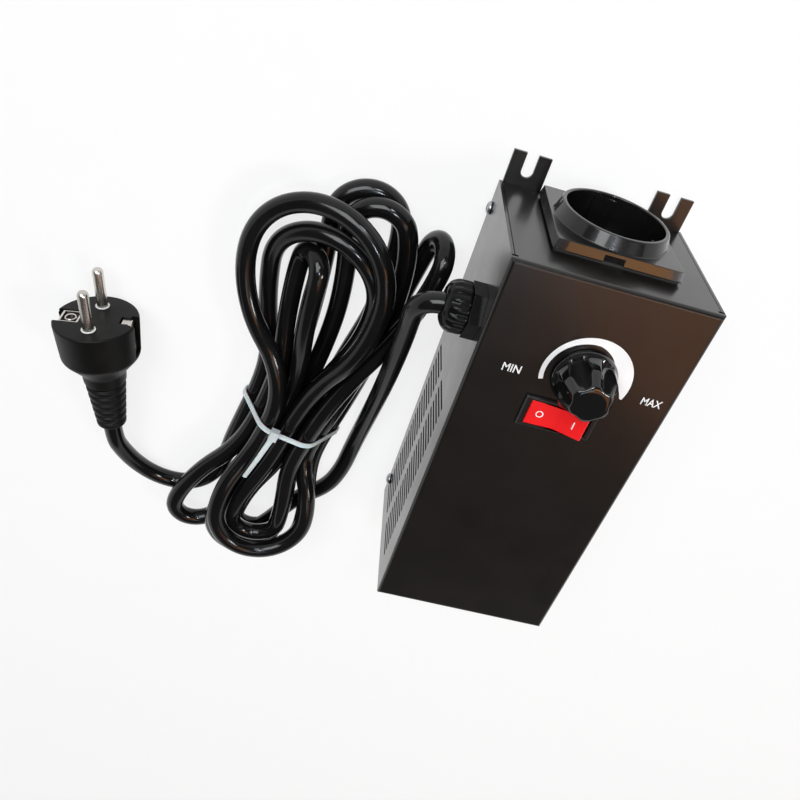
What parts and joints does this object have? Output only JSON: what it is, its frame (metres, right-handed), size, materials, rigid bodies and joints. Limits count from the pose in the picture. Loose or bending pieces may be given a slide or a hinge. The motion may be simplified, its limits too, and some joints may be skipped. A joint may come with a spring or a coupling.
{
  "type": "light dimmer",
  "caption": "Plug-in light dimmer: sheet metal case with a turning knob, a red rocker switch, an earthed outlet on its end and a bundled mains lead with a plug.",
  "frame": {"origin": "middle of the back plate's flat outer face", "axes": "+Z out of the front panel with the knob and switch, +Y towards the outlet end, +X to the right seen from the front"},
  "size_m": [0.2488, 0.2447, 0.0875],
  "materials": {
    "board_green": "lacquered laminate",
    "capacitor_film": "dipped",
    "case_paint": "satin black powder coat",
    "chip_black": "moulded",
    "contact_brass": "bright",
    "control_metal": "tinned",
    "copper_wire": "enamelled copper",
    "cord_sheath": "soft sheath, glossy",
    "fuse_glass": "clear",
    "gasket_rubber": "matt",
    "gland_plastic": "satin moulded",
    "insert_plastic": "moulded",
    "knob_plastic": "gloss moulded",
    "outlet_plastic": "satin moulded",
    "plated_metal": "nickel plated",
    "plug_rubber": "satin moulded",
    "ring_plastic": "moulded",
    "rocker_plastic": "gloss moulded",
    "screw_steel": "zinc plated",
    "sink_aluminium": "extruded",
    "switch_plastic": "satin moulded",
    "terminal_plastic": "moulded",
    "tie_nylon": "natural nylon, see-through"
  },
  "bodies": {
    "case": {"back_plate": "case_paint", "board_screws": "screw_steel", "board_standoffs": "contact_brass", "cable_tie": "tie_nylon", "capacitors": "capacitor_film", "choke_coil": "copper_wire", "circuit_board": "board_green", "control_body": "control_metal", "control_nut": "plated_metal", "control_washer": "plated_metal", "cord_hank": "cord_sheath", "cord_lead": "cord_sheath", "cord_tail": "cord_sheath", "cover_screws": "screw_steel", "front_cover": "case_paint", "fuse": "fuse_glass", "fuse_clips": "contact_brass", "gland_body": "gland_plastic", "gland_dome": "gland_plastic", "gland_locknut": "gland_plastic", "gland_seal": "gasket_rubber", "heat_sink": "sink_aluminium", "outlet_contacts": "contact_brass", "outlet_earth_clips": "plated_metal", "outlet_gasket": "gasket_rubber", "outlet_housing": "outlet_plastic", "outlet_insert": "insert_plastic", "plug_body": "plug_rubber", "plug_boot": "plug_rubber", "plug_earth_contacts": "plated_metal", "plug_pins": "plated_metal", "plug_rings": "ring_plastic", "switch_blades": "contact_brass", "switch_body": "switch_plastic", "terminal_block": "terminal_plastic", "triac": "chip_black"},
    "knob": {"knob": "knob_plastic", "control_shaft": "plated_metal"},
    "rocker": {"rocker": "rocker_plastic"}
  },
  "joints": [
    {"name": "knob_turn", "type": "hinge", "parent": "case", "child": "knob", "pos_m": [0.0023, 0.0508, 0.07], "axis": [0, 0, 1], "range_deg": [-270, 0]},
    {"name": "rocker_tilt", "type": "hinge", "parent": "case", "child": "rocker", "pos_m": [0, 0.031, 0.0675], "axis": [0, 1, 0], "range_deg": [0, 18]}
  ]
}
